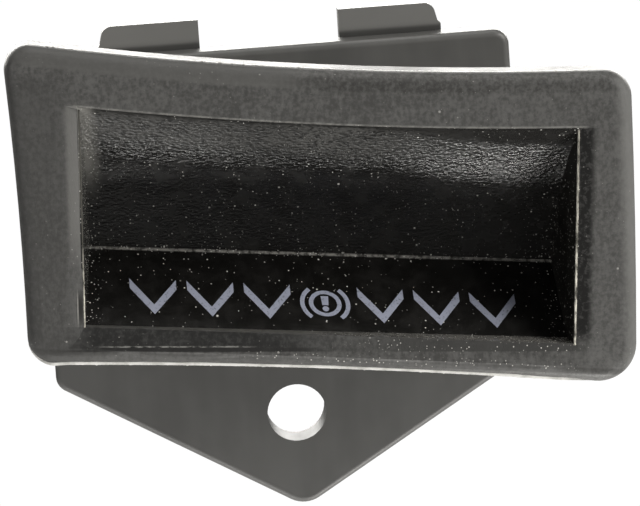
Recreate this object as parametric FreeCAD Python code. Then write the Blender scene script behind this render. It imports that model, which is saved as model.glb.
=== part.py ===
import FreeCAD, Part
import math
import os

V = FreeCAD.Vector
os.makedirs("parts", exist_ok=True)

# Frame: origin on the screw hole's axis at the bracket plate's front face.
# +X right, +Y into the dashboard, +Z up. All sizes in millimetres.

# Bezel outline, seen from the front: its ends stand nearly upright and its long edges fall to the right
BEZEL_WIDTH = 77.4
BEZEL_END_HEIGHT = 41.05
BEZEL_CENTRE_X = 4.53
BEZEL_CENTRE_Z = 31.68
BEZEL_SLOPE_DEG = 7.0
BEZEL_LEFT_LEAN_DEG = 0.3
BEZEL_RIGHT_LEAN_DEG = 1.0
BEZEL_RADIUS_MIN = 0.9

# How far each bezel edge bows in at its middle, and the right one out
BEZEL_TOP_SAG = 1.7
BEZEL_RIGHT_SAG = -0.25
BEZEL_BOTTOM_SAG = 0.92
BEZEL_LEFT_SAG = 0.45

# Corner radii of the bezel outline, clockwise from the top left
BEZEL_RADII = (3.1, 3.5, 4.8, 3.5)

# Bezel section: an upright edge that rolls over to the front face
FACE_Y = -22.1
BEZEL_DEPTH = 5.3
CROWN_RADIUS = 2.0

# Finger recess: a concave scoop above, a crease at the deepest line, a label panel and a narrow ledge below.
# Its depth grows to the right by the turn.
RECESS_WIDTH = 62.2
RECESS_CENTRE_X = 4.9
RECESS_TOP_Z = 44.7
RECESS_TOP_SAG = 0.95
RECESS_TURN_DEG = 2.0
RECESS_LEAN_DEG = 3.4
RECESS_DRAFT_DEG = 3.5
CREASE_Z = 23.8
CREASE_DEPTH = 14.1
SCOOP_BULGE = 2.5
PANEL_FOOT_Z = 16.1
PANEL_FOOT_DEPTH = 3.9
LEDGE_FRONT_Z = 16.46

# The rim slopes in toward the recess at its foot and curves in at its sides
RIM_DIP = 0.6
RIM_DIP_FOOT_Z = 13.7
RIM_DIP_SIDE_WIDTH = 2.6

# Shell of the handle moulding
HANDLE_WALL = 2.2
TUB_INSET = 0.6
RIM_SKIRT = 2.0
RIM_GROOVE_DEPTH = 2.9
RIM_RIB_THICKNESS = 1.6
RIM_RIB_PITCH = 13.0

# Stem of the handle: an I section that slides through the bracket
STEM_WIDTH = 22.0
STEM_HEIGHT = 14.0
STEM_CENTRE_Z = 27.0
STEM_FLANGE = 2.4
STEM_WEB = 2.6
STEM_END_Y = 38.0
STEM_RIB_THICKNESS = 2.0
STEM_RIB_YS = (1.0, 9.0, 31.0)
STOP_COLLAR_MARGIN = 3.4
STOP_COLLAR_WALL = 2.2

# Snap tongues beside the web: their lugs run in the sleeve's slots and end the pull
PULL_TRAVEL = 20.0
TONGUE_THICKNESS = 1.8
TONGUE_HEIGHT = 5.0
LUG_LENGTH = 4.0
LUG_HEIGHT = 4.4
LUG_REACH = 1.5
LUG_FRONT_Y = 26.0

# Socket of the cable's end barrel, across the stem's tail
BARREL_RADIUS = 3.1
BARREL_Y = 34.0
CABLE_SLOT_WIDTH = 2.6

# Bracket plate: a pentagon with its point down
PLATE_THICKNESS = 4.0
PLATE_SKIN = 2.6
PLATE_TOP_Z = 50.28
PLATE_TOP_HALF_WIDTH = 31.4
PLATE_SHOULDER_HALF_WIDTH = 32.1
PLATE_POINT_X = 0.35
PLATE_POINT_Z = -13.77
PLATE_LEFT_SLOPE_DEG = 31.7
PLATE_RIGHT_SLOPE_DEG = 31.2
PLATE_TOP_RADIUS = 2.0
PLATE_SHOULDER_RADIUS = 2.2
PLATE_POINT_RADIUS = 3.8
PLATE_EDGE_ROUND = 0.9
PLATE_LIP = 2.2
HOLE_RADIUS = 4.0
HOLE_BOSS_RADIUS = 8.0
RIB_THICKNESS = 2.0

# Hook tabs: upright lips set back behind the plate's top edge, their outer edges slanting inward
HOOK_INNER_X = 9.3
HOOK_TIP_X = 21.9
HOOK_OUTER_X = 22.5
HOOK_RISE = 3.72
HOOK_CORNER_RADIUS = 1.5
HOOK_THICKNESS = 2.2
HOOK_ROOT = 6.0
HOOK_FOOT = 0.4
HOOK_FOOT_RISE = 1.3
HOOK_GROOVE_WIDTH = 0.5
HOOK_GROOVE_DEPTH = 0.8
HOOK_GROOVE_END = 0.4

# Guide sleeve, arms and cable seat behind the plate
RUNNING_GAP = 0.25
SEAT_GAP = 0.2
SLEEVE_WALL = 2.4
SLEEVE_END_Y = 23.0
ARM_END_Y = 46.0
END_WALL_THICKNESS = 3.0
CONDUIT_RADIUS = 4.2
CONDUIT_MOUTH = 5.2
GUSSET_REACH = 8.0
GUSSET_LENGTH = 11.0
GUSSET_THICKNESS = 2.0
GUSSET_X = 7.0

# Reach of the cutting solids past the faces that they open
CUT = 4.0

BEZEL_SLOPE = math.radians(BEZEL_SLOPE_DEG)
BEZEL_BACK_Y = FACE_Y + BEZEL_DEPTH
SLEEVE_HALF_X = STEM_WIDTH / 2 + RUNNING_GAP
SLEEVE_HALF_Z = STEM_HEIGHT / 2 + RUNNING_GAP


def box(x0, x1, y0, y1, z0, z1):
    """A block between two corners."""
    return Part.makeBox(x1 - x0, y1 - y0, z1 - z0, V(x0, y0, z0))


def rod(radius, start, direction, length):
    """A cylinder from a start point."""
    return Part.makeCylinder(radius, length, start, direction)


def prism(points, direction):
    """A closed polygon pushed along a direction."""
    wire = Part.makePolygon(list(points) + [points[0]])
    return Part.Face(wire).extrude(direction)


def line(start, end):
    """A straight edge."""
    return Part.LineSegment(start, end).toShape()


def arc(start, middle, end):
    """A round edge through three points."""
    return Part.Arc(start, middle, end).toShape()


def bezel_corners():
    """The four sharp corners of the bezel outline: top left, top right, bottom right, bottom left."""
    corners = []
    for side, up in ((-1, 1), (1, 1), (1, -1), (-1, -1)):
        across = side * BEZEL_WIDTH / 2
        rise = up * BEZEL_END_HEIGHT / 2
        lean_deg = BEZEL_LEFT_LEAN_DEG if side < 0 else BEZEL_RIGHT_LEAN_DEG
        lean = rise * math.tan(math.radians(lean_deg))
        fall = across * math.tan(BEZEL_SLOPE)
        corners.append(V(BEZEL_CENTRE_X + across + lean, 0, BEZEL_CENTRE_Z + rise - fall))
    return corners


def edge_circle(start, end, sag):
    """Centre and radius of the circle of one edge; the radius is negative where the edge bows outward."""
    chord = end - start
    half = chord.Length / 2
    radius = (half * half + sag * sag) / (2 * sag)
    outward = V(-chord.z, 0, chord.x)
    outward.normalize()
    return (start + end) * 0.5 + outward * (radius - sag), radius


def unit(vector):
    """The vector at a length of one."""
    return vector * (1 / vector.Length)


def round_centre(before, after, reach, corner):
    """Centre of a corner round, which lies at its reach inside both edges' circles."""
    first = abs(before[1] + reach)
    second = abs(after[1] + reach)
    between = after[0] - before[0]
    along = (first * first - second * second + between.dot(between)) / (2 * between.Length)
    aside = math.sqrt(first * first - along * along)
    ahead = unit(between)
    across = V(-ahead.z, 0, ahead.x)
    options = [before[0] + ahead * along + across * aside, before[0] + ahead * along - across * aside]
    return min(options, key=lambda point: (point - corner).Length)


def arc_round(centre, start, end, reach):
    """The arc round a centre from one point to another, on the side where the points lie."""
    return arc(start, centre + unit((start + end) * 0.5 - centre) * reach, end)


def bezel_wire(inset, y):
    """The bezel outline moved inward by the inset: four bowed edges that meet in round corners."""
    lift = V(0, y, 0)
    corners = [corner + lift for corner in bezel_corners()]
    sags = (BEZEL_TOP_SAG, BEZEL_RIGHT_SAG, BEZEL_BOTTOM_SAG, BEZEL_LEFT_SAG)
    circles = [edge_circle(corners[i], corners[(i + 1) % 4], sags[i]) for i in range(4)]
    rounds = []
    for index, corner in enumerate(corners):
        radius = max(BEZEL_RADII[index] - inset, BEZEL_RADIUS_MIN)
        before, after = circles[index - 1], circles[index]
        centre = round_centre(before, after, inset + radius, corner)
        ends = [centre + unit(circle[0] - centre) * math.copysign(radius, circle[1]) for circle in (before, after)]
        rounds.append((centre, ends[0], ends[1], radius))
    edges = []
    for index in range(4):
        centre, start, end, radius = rounds[index]
        edges.append(arc_round(centre, start, end, radius))
        circle = circles[index]
        edges.append(arc_round(circle[0], end, rounds[(index + 1) % 4][1], abs(circle[1] + inset)))
    return Part.Wire(edges)


def bezel_plate():
    """The bezel as a full plate whose front edges roll over."""
    plate = Part.Face(bezel_wire(0, BEZEL_BACK_Y)).extrude(V(0, -BEZEL_DEPTH, 0))
    edges = [edge for edge in plate.Edges if edge.BoundBox.YMax < FACE_Y + CROWN_RADIUS / 2]
    return plate.makeFillet(CROWN_RADIUS, edges)


def recess_points(across, sag):
    """Corners of the recess's section at a distance across from its middle: top, crease, foot, front and rim."""
    place = RECESS_CENTRE_X + across
    fall = across * math.tan(BEZEL_SLOPE)
    turn = across * math.tan(math.radians(RECESS_TURN_DEG))
    top = V(place, FACE_Y, RECESS_TOP_Z - sag - fall)
    crease = V(place, FACE_Y + CREASE_DEPTH + turn, CREASE_Z - fall)
    foot = V(place, FACE_Y + PANEL_FOOT_DEPTH + turn, PANEL_FOOT_Z - fall)
    front = V(place, FACE_Y + RIM_DIP, LEDGE_FRONT_Z - fall)
    rim = V(place, FACE_Y, RIM_DIP_FOOT_Z - fall)
    return top, crease, foot, front, rim


def scoop_arc(top, crease):
    """The hollow line of the scoop from the top edge to the crease."""
    chord = crease - top
    out = V(0, -chord.z, chord.y)
    out.normalize()
    return arc(top, (top + crease) * 0.5 + out * SCOOP_BULGE, crease)


def scoop_section(across, sag):
    """Section of the scoop, which opens forward past the face."""
    top, crease, _, _, _ = recess_points(across, sag)
    top_out = V(top.x, FACE_Y - CUT, top.z)
    crease_out = V(crease.x, FACE_Y - CUT, crease.z)
    return Part.Wire([line(top_out, top), scoop_arc(top, crease), line(crease, crease_out), line(crease_out, top_out)])


def panel_section(across):
    """Section of the space in front of the label panel, above the narrow ledge and in front of the sloping rim."""
    _, crease, foot, front, rim = recess_points(across, 0)
    crease_out = V(crease.x, FACE_Y - CUT, crease.z)
    rim_out = V(rim.x, FACE_Y - CUT, rim.z)
    corners = [crease_out, crease, foot, front, rim, rim_out, crease_out]
    return Part.Wire([line(start, end) for start, end in zip(corners, corners[1:])])


def recess_length_solid():
    """The scoop and the panel space carried along the recess; the scoop's top edge sags in the middle."""
    reach = RECESS_WIDTH / 2 + CUT
    scoops = []
    for across in (-reach, 0, reach):
        part = across / (RECESS_WIDTH / 2)
        scoops.append(scoop_section(across, RECESS_TOP_SAG * (1 - part * part)))
    scoop = Part.makeLoft(scoops, True, False)
    panel = Part.makeLoft([panel_section(-reach), panel_section(reach)], True, True)
    return scoop.fuse(panel)


def shell_length_solid():
    """The middle section grown by the wall and carried straight along the length."""
    reach = RECESS_WIDTH / 2 + CUT + HANDLE_WALL
    top, crease, foot, front, _ = recess_points(0, 0)
    out = V(0, -CUT, 0)
    section = Part.Wire([
        scoop_arc(top, crease),
        line(crease, foot),
        line(foot, front),
        line(front, front + out),
        line(front + out, top + out),
        line(top + out, top),
    ])
    face = Part.Face(Part.Wire(section.makeOffset2D(HANDLE_WALL).Edges))
    along = V(reach, reach * math.tan(math.radians(RECESS_TURN_DEG)), -reach * math.tan(BEZEL_SLOPE))
    face.translate(along * -1)
    return face.extrude(along * 2)


def recess_side_solid(grow):
    """The space between the recess's two drafted side walls, in front of which the rim curves in."""
    lean = math.radians(RECESS_LEAN_DEG)
    out = V(math.cos(lean), 0, -math.sin(lean))
    up = V(math.sin(lean), 0, math.cos(lean))
    wide = RIM_DIP_SIDE_WIDTH
    curve_radius = (wide * wide + RIM_DIP * RIM_DIP) / (2 * RIM_DIP)
    middle_dip = curve_radius - math.sqrt(curve_radius * curve_radius - wide * wide / 4)
    wall = RECESS_WIDTH / 2 + grow
    reach_y = FACE_Y - CUT
    edge_y = FACE_Y + RIM_DIP
    deep_y = FACE_Y + CREASE_DEPTH + grow + CUT
    narrow = wall - (deep_y - edge_y) * math.tan(math.radians(RECESS_DRAFT_DEG))
    edges = []
    for side in (1, -1):
        points = [
            V(0, reach_y, 0),
            out * (side * (wall + wide)) + V(0, reach_y, 0),
            out * (side * (wall + wide)) + V(0, FACE_Y, 0),
            out * (side * (wall + wide / 2)) + V(0, FACE_Y + middle_dip, 0),
            out * (side * wall) + V(0, edge_y, 0),
            out * (side * narrow) + V(0, deep_y, 0),
            V(0, deep_y, 0),
        ]
        half = [
            line(points[0], points[1]),
            line(points[1], points[2]),
            arc(points[2], points[3], points[4]),
            line(points[4], points[5]),
            line(points[5], points[6]),
        ]
        edges += half if side > 0 else reversed(half)
    height = RECESS_TOP_Z - RIM_DIP_FOOT_Z + RECESS_WIDTH * math.tan(BEZEL_SLOPE) + 4 * CUT
    solid = Part.Face(Part.Wire(edges)).extrude(up * height)
    solid.translate(V(RECESS_CENTRE_X, 0, (RECESS_TOP_Z + LEDGE_FRONT_Z) / 2) - up * (height / 2))
    return solid


def recess_cutter():
    """Everything that the finger recess takes out of the moulding."""
    return recess_length_solid().common(recess_side_solid(0))


def tub():
    """The recess's shell, which stands out behind the bezel."""
    shell = shell_length_solid().common(recess_side_solid(HANDLE_WALL))
    front = FACE_Y + CROWN_RADIUS
    keep = Part.Face(bezel_wire(TUB_INSET, front)).extrude(V(0, -front, 0))
    return shell.common(keep)


def rim_groove():
    """The hollow behind the rim, between its outer skirt and the tub, crossed by ribs."""
    floor_y = BEZEL_BACK_Y - RIM_GROOVE_DEPTH
    ring = Part.Face(bezel_wire(RIM_SKIRT, floor_y)).extrude(V(0, RIM_GROOVE_DEPTH + CUT, 0))
    ring = ring.cut(tub())
    count = int(BEZEL_WIDTH / RIM_RIB_PITCH)
    ribs = []
    for index in range(count):
        x = BEZEL_CENTRE_X + (index - (count - 1) / 2) * RIM_RIB_PITCH
        half = RIM_RIB_THICKNESS / 2
        ribs.append(box(x - half, x + half, floor_y, BEZEL_BACK_Y, -BEZEL_WIDTH, 2 * BEZEL_WIDTH))
    for index in (-1, 1):
        z = BEZEL_CENTRE_Z + index * RIM_RIB_PITCH / 2
        half = RIM_RIB_THICKNESS / 2
        ribs.append(box(-BEZEL_WIDTH, 2 * BEZEL_WIDTH, floor_y, BEZEL_BACK_Y, z - half, z + half))
    return ring.cut(ribs)


def stem():
    """The sliding stem: two flanges, a web, cross ribs and the tail that takes the cable's end."""
    half_x = STEM_WIDTH / 2
    low = STEM_CENTRE_Z - STEM_HEIGHT / 2
    high = STEM_CENTRE_Z + STEM_HEIGHT / 2
    start_y = FACE_Y + PANEL_FOOT_DEPTH
    parts = [
        box(-half_x, half_x, start_y, STEM_END_Y, low, low + STEM_FLANGE),
        box(-half_x, half_x, start_y, STEM_END_Y, high - STEM_FLANGE, high),
        box(-STEM_WEB / 2, STEM_WEB / 2, start_y, STEM_END_Y, low, high),
    ]
    for y in STEM_RIB_YS:
        parts.append(box(-half_x, half_x, y, y + STEM_RIB_THICKNESS, low, high))
    collar_x = half_x + STOP_COLLAR_MARGIN
    collar_low = low - STOP_COLLAR_MARGIN
    collar_high = high + STOP_COLLAR_MARGIN
    wall = STOP_COLLAR_WALL
    collar = box(-collar_x, collar_x, start_y, -SEAT_GAP, collar_low, collar_high)
    hollow = box(-collar_x + wall, collar_x - wall, start_y - CUT, CUT, collar_low + wall, collar_high - wall)
    solid = parts[0].multiFuse(parts[1:] + [collar.cut(hollow)])
    solid = solid.fuse(barrel_block())
    return solid.cut(barrel_socket())


def barrel_block():
    """The solid tail round the barrel socket."""
    half = BARREL_RADIUS + HANDLE_WALL
    low = STEM_CENTRE_Z - STEM_HEIGHT / 2
    return box(-half, half, BARREL_Y - half + CABLE_SLOT_WIDTH / 2, STEM_END_Y, low, low + STEM_HEIGHT)


def barrel_socket():
    """A round seat across the tail, and the slot through which the cable leaves it."""
    low = STEM_CENTRE_Z - STEM_HEIGHT / 2 + STEM_FLANGE
    high = STEM_CENTRE_Z + STEM_HEIGHT / 2
    seat = rod(BARREL_RADIUS, V(0, BARREL_Y, low), V(0, 0, 1), high - low + CUT)
    half = CABLE_SLOT_WIDTH / 2
    slot = box(-half, half, BARREL_Y, STEM_END_Y + CUT, low, high + CUT)
    return seat.fuse(slot)


def snap_tongue(side):
    """A springy tongue beside the web, with a lug that has a square front and a ramped back."""
    half_x = STEM_WIDTH / 2
    root_y = STEM_RIB_YS[1]
    end_y = LUG_FRONT_Y + LUG_LENGTH
    low = STEM_CENTRE_Z - TONGUE_HEIGHT / 2
    inner = half_x - TONGUE_THICKNESS
    tongue = box(inner, half_x, root_y, end_y, low, low + TONGUE_HEIGHT)
    lug = prism([
        V(inner, LUG_FRONT_Y, STEM_CENTRE_Z - LUG_HEIGHT / 2),
        V(half_x + LUG_REACH, LUG_FRONT_Y, STEM_CENTRE_Z - LUG_HEIGHT / 2),
        V(half_x + LUG_REACH, LUG_FRONT_Y + LUG_LENGTH / 3, STEM_CENTRE_Z - LUG_HEIGHT / 2),
        V(half_x, end_y, STEM_CENTRE_Z - LUG_HEIGHT / 2),
        V(inner, end_y, STEM_CENTRE_Z - LUG_HEIGHT / 2),
    ], V(0, 0, LUG_HEIGHT))
    solid = tongue.fuse(lug)
    if side < 0:
        solid = solid.mirror(V(0, 0, 0), V(1, 0, 0))
    return solid


def pull_handle():
    """The black handle moulding."""
    solid = bezel_plate().cut(rim_groove())
    solid = solid.multiFuse([tub(), stem(), snap_tongue(-1), snap_tongue(1)])
    return solid.cut(recess_cutter()).removeSplitter()


def plate_outline():
    """Sharp corners of the bracket plate with their round radii, clockwise from the top left."""
    left_slope = math.tan(math.radians(PLATE_LEFT_SLOPE_DEG))
    right_slope = math.tan(math.radians(PLATE_RIGHT_SLOPE_DEG))
    left_z = PLATE_POINT_Z + (PLATE_SHOULDER_HALF_WIDTH + PLATE_POINT_X) * left_slope
    right_z = PLATE_POINT_Z + (PLATE_SHOULDER_HALF_WIDTH - PLATE_POINT_X) * right_slope
    return [
        (V(-PLATE_TOP_HALF_WIDTH, 0, PLATE_TOP_Z), PLATE_TOP_RADIUS),
        (V(PLATE_TOP_HALF_WIDTH, 0, PLATE_TOP_Z), PLATE_TOP_RADIUS),
        (V(PLATE_SHOULDER_HALF_WIDTH, 0, right_z), PLATE_SHOULDER_RADIUS),
        (V(PLATE_POINT_X, 0, PLATE_POINT_Z), PLATE_POINT_RADIUS),
        (V(-PLATE_SHOULDER_HALF_WIDTH, 0, left_z), PLATE_SHOULDER_RADIUS),
    ]


def rounded_wire(corners):
    """A closed outline of straight sides, with a round arc at each corner that has a radius."""
    count = len(corners)
    rounds = []
    for index in range(count):
        point, radius = corners[index]
        if radius == 0:
            rounds.append((point, point, point))
            continue
        before = corners[index - 1][0] - point
        after = corners[(index + 1) % count][0] - point
        before.normalize()
        after.normalize()
        half = before.getAngle(after) / 2
        cut_back = radius / math.tan(half)
        bisector = before + after
        bisector.normalize()
        centre = point + bisector * (radius / math.sin(half))
        middle = centre - bisector * radius
        rounds.append((point + before * cut_back, middle, point + after * cut_back))
    edges = []
    for index in range(count):
        if corners[index][1]:
            edges.append(arc(*rounds[index]))
        edges.append(line(rounds[index][2], rounds[(index + 1) % count][0]))
    return Part.Wire(edges)


def round_front_edges(plate):
    """Softens the plate's outer front edges."""
    edges = [edge for edge in plate.Edges if edge.BoundBox.YMax < PLATE_EDGE_ROUND / 2]
    return plate.makeFillet(PLATE_EDGE_ROUND, edges)


def plate_pockets(outline):
    """Shallow pockets in the plate's back, which leave a lip, a boss, ribs and the sleeve's root."""
    inner = Part.Wire(outline.makeOffset2D(-PLATE_LIP).Edges)
    pocket = Part.Face(inner).extrude(V(0, PLATE_THICKNESS - PLATE_SKIN + CUT, 0))
    pocket.translate(V(0, PLATE_SKIN, 0))
    root_x = SLEEVE_HALF_X + SLEEVE_WALL + RIB_THICKNESS
    root_z = SLEEVE_HALF_Z + SLEEVE_WALL + RIB_THICKNESS
    far = PLATE_SHOULDER_HALF_WIDTH
    deep = PLATE_THICKNESS + CUT
    keep = [
        box(-root_x, root_x, 0, deep, STEM_CENTRE_Z - root_z, STEM_CENTRE_Z + root_z),
        rod(HOLE_BOSS_RADIUS, V(0, 0, 0), V(0, 1, 0), deep),
        box(-RIB_THICKNESS / 2, RIB_THICKNESS / 2, 0, deep, PLATE_POINT_Z, PLATE_TOP_Z),
        box(-far, far, 0, deep, STEM_CENTRE_Z - RIB_THICKNESS / 2, STEM_CENTRE_Z + RIB_THICKNESS / 2),
        box(-HOOK_OUTER_X, HOOK_OUTER_X, 0, deep, PLATE_TOP_Z - HOOK_ROOT, PLATE_TOP_Z),
    ]
    return pocket.cut(keep)


def hook(side):
    """A hook tab: a lip behind the plate's top edge, rounded at its outer tip, with a small step at its foot."""
    top = PLATE_TOP_Z + HOOK_RISE
    low = PLATE_TOP_Z - HOOK_ROOT
    step_z = PLATE_TOP_Z + HOOK_FOOT_RISE
    outline = rounded_wire([
        (V(HOOK_INNER_X, 0, low), 0),
        (V(HOOK_INNER_X, 0, top), 0),
        (V(HOOK_TIP_X, 0, top), HOOK_CORNER_RADIUS),
        (V(HOOK_OUTER_X, 0, step_z), 0),
        (V(HOOK_OUTER_X + HOOK_FOOT, 0, step_z - HOOK_FOOT), 0),
        (V(HOOK_OUTER_X + HOOK_FOOT, 0, low), 0),
    ])
    lip = Part.Face(outline).extrude(V(0, HOOK_THICKNESS, 0))
    lip.translate(V(0, PLATE_THICKNESS, 0))
    if side < 0:
        lip = lip.mirror(V(0, 0, 0), V(1, 0, 0))
    return lip


def hook_groove(side):
    """A narrow groove in front of a hook, where the panel's edge drops in."""
    low = PLATE_TOP_Z - HOOK_GROOVE_DEPTH
    groove = box(HOOK_INNER_X + HOOK_GROOVE_END, HOOK_OUTER_X - HOOK_GROOVE_END,
                 PLATE_THICKNESS - HOOK_GROOVE_WIDTH, PLATE_THICKNESS, low, PLATE_TOP_Z + CUT)
    if side < 0:
        groove = groove.mirror(V(0, 0, 0), V(1, 0, 0))
    return groove


def sleeve():
    """The guide sleeve behind the window, its two arms and the end wall."""
    out_x = SLEEVE_HALF_X + SLEEVE_WALL
    out_z = SLEEVE_HALF_Z + SLEEVE_WALL
    low = STEM_CENTRE_Z - out_z
    high = STEM_CENTRE_Z + out_z
    solid = box(-out_x, out_x, PLATE_SKIN, SLEEVE_END_Y, low, high)
    for side in (-1, 1):
        x0 = min(side * SLEEVE_HALF_X, side * out_x)
        solid = solid.fuse(box(x0, x0 + SLEEVE_WALL, PLATE_SKIN, ARM_END_Y, low, high))
    return solid.fuse(box(-out_x, out_x, ARM_END_Y - END_WALL_THICKNESS, ARM_END_Y, low, high))


def sleeve_bore():
    """The window and way for the stem."""
    return box(-SLEEVE_HALF_X, SLEEVE_HALF_X, -CUT, SLEEVE_END_Y + CUT,
               STEM_CENTRE_Z - SLEEVE_HALF_Z, STEM_CENTRE_Z + SLEEVE_HALF_Z)


def lug_slots():
    """The slots in the sleeve's sides in which the snap lugs travel."""
    start = LUG_FRONT_Y - PULL_TRAVEL - SEAT_GAP
    end = LUG_FRONT_Y + LUG_LENGTH + SEAT_GAP
    half = LUG_HEIGHT / 2 + RUNNING_GAP
    far = SLEEVE_HALF_X + SLEEVE_WALL + CUT
    return box(-far, far, start, end, STEM_CENTRE_Z - half, STEM_CENTRE_Z + half)


def conduit_seat():
    """The round seat of the cable's conduit in the end wall, open upward through a mouth."""
    start = ARM_END_Y - END_WALL_THICKNESS
    seat = rod(CONDUIT_RADIUS, V(0, start - CUT / 2, STEM_CENTRE_Z), V(0, 1, 0), END_WALL_THICKNESS + CUT)
    half = CONDUIT_MOUTH / 2
    high = STEM_CENTRE_Z + SLEEVE_HALF_Z + SLEEVE_WALL + CUT
    return seat.fuse(box(-half, half, start - CUT / 2, ARM_END_Y + CUT / 2, STEM_CENTRE_Z, high))


def gussets():
    """Triangular webs that brace the sleeve against the plate."""
    out_x = SLEEVE_HALF_X + SLEEVE_WALL
    out_z = SLEEVE_HALF_Z + SLEEVE_WALL
    foot = PLATE_SKIN
    end = PLATE_THICKNESS + GUSSET_LENGTH
    webs = []
    for side in (-1, 1):
        edge = STEM_CENTRE_Z + side * out_z
        for x in (-GUSSET_X, GUSSET_X):
            webs.append(prism([
                V(x - GUSSET_THICKNESS / 2, foot, edge),
                V(x - GUSSET_THICKNESS / 2, foot, edge + side * GUSSET_REACH),
                V(x - GUSSET_THICKNESS / 2, PLATE_THICKNESS, edge + side * GUSSET_REACH),
                V(x - GUSSET_THICKNESS / 2, end, edge),
            ], V(GUSSET_THICKNESS, 0, 0)))
        low = STEM_CENTRE_Z + out_z - GUSSET_THICKNESS
        webs.append(prism([
            V(side * out_x, foot, low),
            V(side * (out_x + GUSSET_REACH), foot, low),
            V(side * (out_x + GUSSET_REACH), PLATE_THICKNESS, low),
            V(side * out_x, end, low),
        ], V(0, 0, GUSSET_THICKNESS)))
    return webs


def mounting_bracket():
    """The grey bracket moulding."""
    outline = rounded_wire(plate_outline())
    plate = round_front_edges(Part.Face(outline).extrude(V(0, PLATE_THICKNESS, 0)))
    plate = plate.cut(plate_pockets(outline))
    solid = plate.multiFuse([hook(-1), hook(1), sleeve()] + gussets())
    solid = solid.cut([hook_groove(-1), hook_groove(1)])
    solid = solid.cut([sleeve_bore(), lug_slots(), conduit_seat()])
    hole = rod(HOLE_RADIUS, V(0, -CUT, 0), V(0, 1, 0), PLATE_THICKNESS + 2 * CUT)
    return solid.cut(hole).removeSplitter()


def save(name, shape):
    """Writes one piece, which must be a single closed solid."""
    solids = shape.Solids
    print(name, "solids", len(solids), "valid", shape.isValid(), "volume", round(shape.Volume, 1))
    solids[0].exportStep("parts/" + name + ".step")


save("pull_handle", pull_handle())
save("mounting_bracket", mounting_bracket())
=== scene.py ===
import bmesh
import bpy
import math
import random
from mathutils import Matrix, Vector


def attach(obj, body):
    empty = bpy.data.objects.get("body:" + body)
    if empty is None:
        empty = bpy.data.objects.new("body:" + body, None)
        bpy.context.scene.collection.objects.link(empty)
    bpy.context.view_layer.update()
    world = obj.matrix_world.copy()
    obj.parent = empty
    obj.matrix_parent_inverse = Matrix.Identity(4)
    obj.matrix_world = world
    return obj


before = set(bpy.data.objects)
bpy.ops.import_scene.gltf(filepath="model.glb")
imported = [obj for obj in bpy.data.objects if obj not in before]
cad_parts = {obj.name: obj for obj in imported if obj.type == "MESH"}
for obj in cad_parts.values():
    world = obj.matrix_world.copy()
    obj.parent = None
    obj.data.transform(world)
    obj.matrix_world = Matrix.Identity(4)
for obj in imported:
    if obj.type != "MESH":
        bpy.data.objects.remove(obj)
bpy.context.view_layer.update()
random.seed(7)

MM = 0.001

# The handle's own sizes, in millimetres, as in the part's source
FACE_Y = -22.1
SLOPE = math.tan(math.radians(7.0))
BEZEL_CENTRE = Vector((4.53, 0, 31.68))
BEZEL_HALF_WIDTH = 38.7
BEZEL_HALF_HEIGHT = 20.52
BEZEL_TOP_SAG = 1.7
BEZEL_BOTTOM_SAG = 0.92
CROWN_DEPTH = 2.0
RECESS_CENTRE_X = 4.9
RECESS_HALF_WIDTH = 31.1
RECESS_TOP_Z = 44.7
RECESS_TOP_SAG = 0.95
RECESS_TURN = math.tan(math.radians(2.0))
RECESS_LEAN = math.tan(math.radians(3.4))
RECESS_DRAFT = math.tan(math.radians(3.5))
RECESS_MIDDLE_Z = 30.58
CREASE_Z = 23.8
CREASE_DEPTH = 14.1
PANEL_FOOT_Z = 16.1
PANEL_FOOT_DEPTH = 3.9
LEDGE_FRONT_Z = 16.46
RIM_DIP = 0.6
RIM_DIP_SIDE_WIDTH = 2.6
PLATE_TOP_Z = 50.28

# Wear along the bar under the recess: a scratched line that climbs to the right, and a row of dust grains
SCRATCH_LEVEL = 15.11
SCRATCH_RISE = 0.036
GRAIN_LEVEL = 13.6

# The print on the label panel, along it and up from its foot
PRINT_THICKNESS = 0.03
PRINT_LIFT = -0.01
PRINT_HEIGHT = 5.7
PRINT_MIDDLE = 4.5
PRINT_PITCH = 7.35
PRINT_CENTRE = -1.0
PRINT_TURN_DEG = -0.95
ARROWS_PER_SIDE = 3

# The shapes of the printed marks, as shares of half the print's height
ARROW_REACH = 1.05
ARROW_BAND = 0.55
RING_OUTER = 0.74
RING_INNER = 0.54
ARC_OUTER = 1.14
ARC_INNER = 0.94
MARK_WIDTH = 0.14
MARK_FOOT = -0.10
MARK_TOP = 0.42
DOT_MIDDLE = 0.30
ARC_HALF_TURN_DEG = 50
MARK_FLARE = 1.25
DOT_SWELL = 1.05
DOT_STEPS = 16

# The moulding flash: a lip under the bezel's lower edge that thins to both ends, and a line on its upper
# edge; its near-white colour is a painted highlight
FLASH_STEPS = 320
FLASH_SPAN = 0.87
NIB_CHANCE = 0.06
LIP_START = 0.25
LIP_END = 0.1
LIP_TAPER = 0.15
LIP_DEPTH = 1.08
LIP_RISE = 0.34
LIP_ROOT = 0.05
LIP_CROWN_REACH = 0.6
LIP_CROWN_RISE = 0.08
CORNER_STEPS = 40
CORNER_CENTRE = Vector((-30.62, 0, 19.02))
CORNER_RADIUS = 3.5
CORNER_START_DEG = 190
CORNER_TURN_DEG = 72
TOP_FLASH_HALF_TIP = 0.04
TOP_FLASH_HALF_FOOT = 0.11
TOP_FLASH_ROOT = 0.12

# The polished edges at both sides of the recess, whose bright colour is a painted highlight
BEAD_STEPS = 160
BEAD_SIDES = 10
BEAD_THINNEST = 0.85
BEAD_SPREAD = 0.3
RIGHT_BEAD_RADIUS = 0.15
LEFT_BEAD_RADIUS = 0.10
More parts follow.
